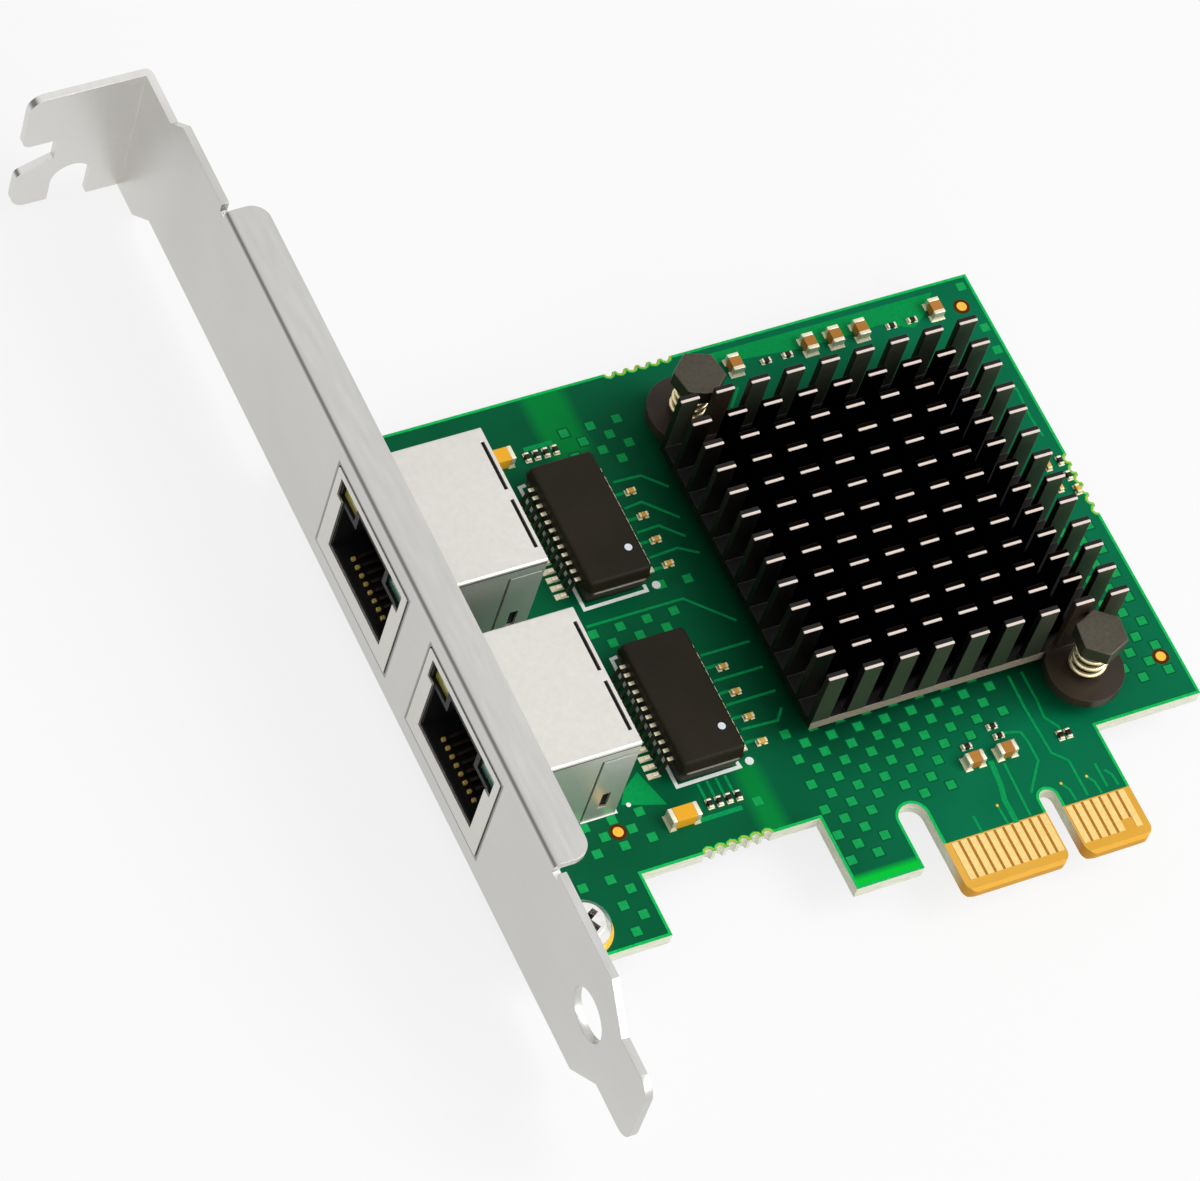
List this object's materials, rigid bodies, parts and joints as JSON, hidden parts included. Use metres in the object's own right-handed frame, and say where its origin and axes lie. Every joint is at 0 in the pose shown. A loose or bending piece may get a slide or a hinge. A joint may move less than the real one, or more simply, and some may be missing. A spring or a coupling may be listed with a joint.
{
  "type": "network interface card",
  "caption": "Edge-connector network card with twin modular ports, a pin-fin heat sink on spring bolts and a full-height folded mounting bracket.",
  "frame": {"origin": "centre of the key notch, at the contact edge of the board and halfway through its thickness", "axes": "+X along the card away from the bracket, +Y up the card towards the bracket's tab, +Z out of the component side"},
  "size_m": [0.091, 0.1209, 0.0216],
  "materials": {
    "bracket_steel": "satin zinc-plated sheet",
    "screw_steel": "bright nickel plating",
    "solder_mask": "green solder mask over woven glass laminate",
    "gold_plating": "gold plating",
    "port_metal": "bright tin-plated sheet",
    "black_nylon": "black glass-filled moulding",
    "yellow_lens": "tinted clear moulding",
    "green_lens": "tinted clear moulding",
    "solder": "tin solder",
    "black_epoxy": "moulded epoxy",
    "thermal_pad": "soft silicone",
    "black_anodised": "black anodised",
    "dark_bolt": "dark oxide finish",
    "spring_wire": "plated spring wire",
    "tinned_ends": "matt tin",
    "ceramic": "fired ceramic",
    "resistor_film": "glassy black overcoat",
    "yellow_resin": "moulded yellow resin"
  },
  "bodies": {
    "root": {"circuit_board": "solder_mask", "edge_contacts_front": "gold_plating", "edge_contacts_back": "gold_plating", "bracket": "bracket_steel", "bracket_screws": "screw_steel", "mounting_pads": "gold_plating", "fiducial_marks": "gold_plating", "controller_chip": "black_epoxy", "thermal_pad": "thermal_pad", "heat_sink": "black_anodised", "heat_sink_bolt_upper": "dark_bolt", "heat_sink_bolt_lower": "dark_bolt", "heat_sink_spring_upper": "spring_wire", "heat_sink_spring_lower": "spring_wire", "heat_sink_nut_upper": "screw_steel", "heat_sink_nut_lower": "screw_steel", "ceramic_capacitor_bodies": "ceramic", "ceramic_capacitor_ends": "tinned_ends", "small_capacitor_bodies": "ceramic", "small_capacitor_ends": "tinned_ends", "resistor_bodies": "resistor_film", "resistor_ends": "tinned_ends", "moulded_capacitor_bodies": "yellow_resin", "moulded_capacitor_ends": "tinned_ends", "port_shield_a": "port_metal", "port_housing_a": "black_nylon", "port_contacts_a": "gold_plating", "port_yellow_lens_a": "yellow_lens", "port_green_lens_a": "green_lens", "port_solder_tails_a": "solder", "transformer_body_a": "black_epoxy", "transformer_leads_a": "tinned_ends", "port_shield_b": "port_metal", "port_housing_b": "black_nylon", "port_contacts_b": "gold_plating", "port_yellow_lens_b": "yellow_lens", "port_green_lens_b": "green_lens", "port_solder_tails_b": "solder", "transformer_body_b": "black_epoxy", "transformer_leads_b": "tinned_ends"}
  },
  "joints": []
}
